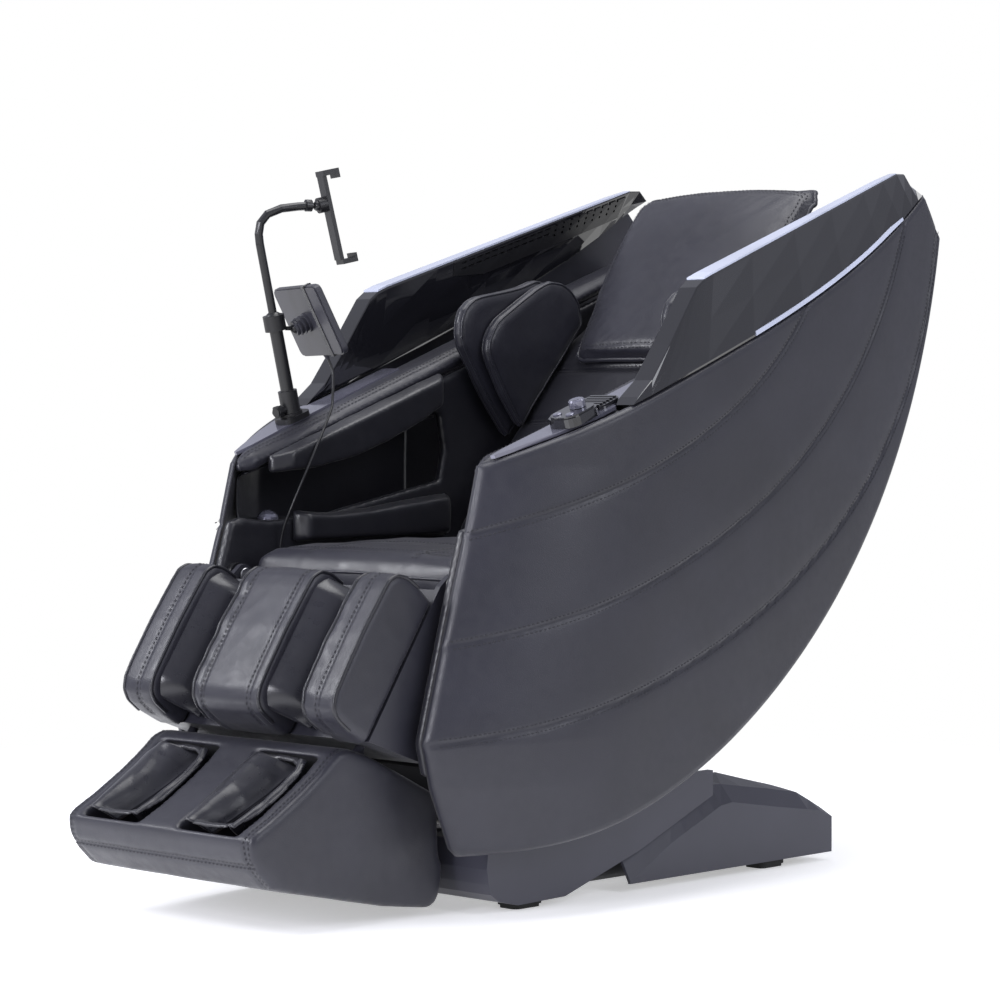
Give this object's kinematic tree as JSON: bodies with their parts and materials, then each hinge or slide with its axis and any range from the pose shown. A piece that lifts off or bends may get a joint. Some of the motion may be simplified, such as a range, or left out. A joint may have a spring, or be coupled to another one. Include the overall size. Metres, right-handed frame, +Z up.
{
  "type": "massage chair",
  "caption": "Reclining massage chair with padded side shells, arm and calf channels, foot unit, sliding base and a remote on a pole.",
  "frame": {"origin": "centre of the footprint at floor level", "axes": "+Z up, the chair faces -Y, +X is the sitter's left"},
  "size_m": [0.794, 1.4823, 1.173],
  "materials": {
    "shell_leather": "satin",
    "dark_leather": "satin",
    "gloss_black": "high gloss",
    "light": "glowing gloss",
    "cover_plastic": "matte",
    "black_plastic": "matte",
    "frame_paint": "powder coat",
    "bright_steel": "brushed",
    "rubber": "matte",
    "silver_plastic": "gloss",
    "remote_plastic": "satin",
    "screen_glass": "glass",
    "zinc_casting": "cast",
    "massage_nylon": "satin",
    "switch_red": "gloss",
    "fabric_black": "woven"
  },
  "bodies": {
    "base": {"base_frame": "frame_paint", "base_skirt": "cover_plastic", "base_rear_cover": "cover_plastic", "base_feet": "rubber", "wheel_axle": "bright_steel", "slide_rails": "bright_steel", "power_unit": "cover_plastic", "power_inlet": "black_plastic", "air_pump": "black_plastic"},
    "switch": {"power_switch": "switch_red"},
    "wheels": {"wheels": "rubber"},
    "carriage": {"slide_carriage": "frame_paint", "slide_rollers": "massage_nylon", "seat_pivot_pins": "bright_steel"},
    "chair": {"seat_frame": "frame_paint", "frame_pivot_pins": "bright_steel", "seat_cushion": "dark_leather", "left_side_shell": "shell_leather", "right_side_shell": "shell_leather", "gloss_panels": "gloss_black", "light_strips": "light", "accent_strips": "light", "arm_walls": "dark_leather", "arm_tunnels": "dark_leather", "upper_arm_pads": "dark_leather", "lower_arm_pads": "dark_leather", "armrests": "shell_leather", "armrest_inlays": "silver_plastic", "hand_domes": "silver_plastic", "speaker_grilles": "black_plastic", "control_pod": "gloss_black", "wrist_pad": "gloss_black", "stand_clamp": "black_plastic", "stand_pole": "frame_paint", "remote_bracket": "black_plastic", "remote_cord": "rubber"},
    "knob": {"control_knob": "silver_plastic"},
    "recline_key": {"recline_button": "silver_plastic"},
    "leg_key": {"leg_button": "silver_plastic"},
    "screw": {"clamp_screw": "black_plastic"},
    "remote": {"remote_body": "remote_plastic", "remote_screen": "screen_glass", "remote_band": "fabric_black"},
    "holder": {"phone_bar": "black_plastic"},
    "jaw": {"phone_jaw": "black_plastic"},
    "back": {"back_frame": "frame_paint", "back_shell": "cover_plastic", "back_pad": "dark_leather", "head_pillow": "dark_leather", "inner_shoulder_pads": "dark_leather", "outer_shoulder_pads": "dark_leather"},
    "mech": {"roller_carriage": "zinc_casting"},
    "knead": {"massage_arms": "massage_nylon"},
    "calf": {"calf_shell": "shell_leather", "calf_middle_pad": "dark_leather", "calf_outer_pads": "shell_leather"},
    "foot": {"foot_shell": "shell_leather", "foot_collars": "dark_leather"},
    "front_roller": {"front_foot_roller": "massage_nylon"},
    "rear_roller": {"rear_foot_roller": "massage_nylon"}
  },
  "joints": [
    {"name": "carriage_slide", "type": "slide", "parent": "base", "child": "carriage", "axis": [0, -1, 0], "range_m": [0, 0.12]},
    {"name": "seat_tilt", "type": "hinge", "parent": "carriage", "child": "chair", "pos_m": [0, -0.1, 0.25], "axis": [-1, 0, 0], "range_deg": [0, 15]},
    {"name": "back_recline", "type": "hinge", "parent": "chair", "child": "back", "pos_m": [0, 0.158, 0.47], "axis": [-1, 0, 0], "range_deg": [0, 35]},
    {"name": "leg_lift", "type": "hinge", "parent": "chair", "child": "calf", "pos_m": [0, -0.36, 0.5], "axis": [-1, 0, 0], "range_deg": [0, 56]},
    {"name": "foot_extend", "type": "slide", "parent": "calf", "child": "foot", "axis": [0, -0.5563, -0.831], "range_m": [0, 0.15]},
    {"name": "front_roller_spin", "type": "hinge", "parent": "foot", "child": "front_roller", "pos_m": [0, -0.66009, 0.10364], "axis": [1, 0, 0], "continuous": true},
    {"name": "rear_roller_spin", "type": "hinge", "parent": "foot", "child": "rear_roller", "pos_m": [0, -0.54005, 0.07623], "axis": [1, 0, 0], "continuous": true},
    {"name": "roller_carriage_slide", "type": "slide", "parent": "back", "child": "mech", "axis": [0, 0.6428, 0.766], "range_m": [-0.09, 0.15]},
    {"name": "knead_spin", "type": "hinge", "parent": "mech", "child": "knead", "pos_m": [0, 0.28264, 0.66183], "axis": [1, 0, 0], "continuous": true},
    {"name": "knob_turn", "type": "hinge", "parent": "chair", "child": "knob", "pos_m": [0.33, -0.17833, 0.77108], "axis": [0, -0.3437, 0.9391], "range_deg": [-140, 140]},
    {"name": "recline_press", "type": "slide", "parent": "chair", "child": "recline_key", "axis": [0, 0.3437, -0.9391], "range_m": [0, 0.0015], "stiffness_N_per_m": 400},
    {"name": "leg_press", "type": "slide", "parent": "chair", "child": "leg_key", "axis": [0, 0.3437, -0.9391], "range_m": [0, 0.0015], "stiffness_N_per_m": 400},
    {"name": "switch_rock", "type": "hinge", "parent": "base", "child": "switch", "pos_m": [-0.102, 0.508, 0.07], "axis": [1, 0, 0], "range_deg": [-8, 0]},
    {"name": "wheels_spin", "type": "hinge", "parent": "base", "child": "wheels", "pos_m": [0, 0.484, 0.034], "axis": [1, 0, 0], "continuous": true},
    {"name": "screw_turn", "type": "hinge", "parent": "chair", "child": "screw", "pos_m": [-0.31, -0.2119, 0.76397], "axis": [0, -0.9703, -0.2419], "continuous": true},
    {"name": "remote_tilt", "type": "hinge", "parent": "chair", "child": "remote", "pos_m": [-0.297, -0.19, 0.902], "axis": [0.9336, -0.3584, 0], "range_deg": [-15, 15], "deforming": ["remote_cord"]},
    {"name": "phone_tilt", "type": "hinge", "parent": "chair", "child": "holder", "pos_m": [-0.266, -0.167, 1.105], "axis": [0.9336, -0.3584, 0], "range_deg": [-15, 15]},
    {"name": "jaw_slide", "type": "slide", "parent": "holder", "child": "jaw", "axis": [0.0806, 0.21, -0.9744], "range_m": [0, 0.025], "stiffness_N_per_m": 200, "springref_m": -0.01}
  ]
}
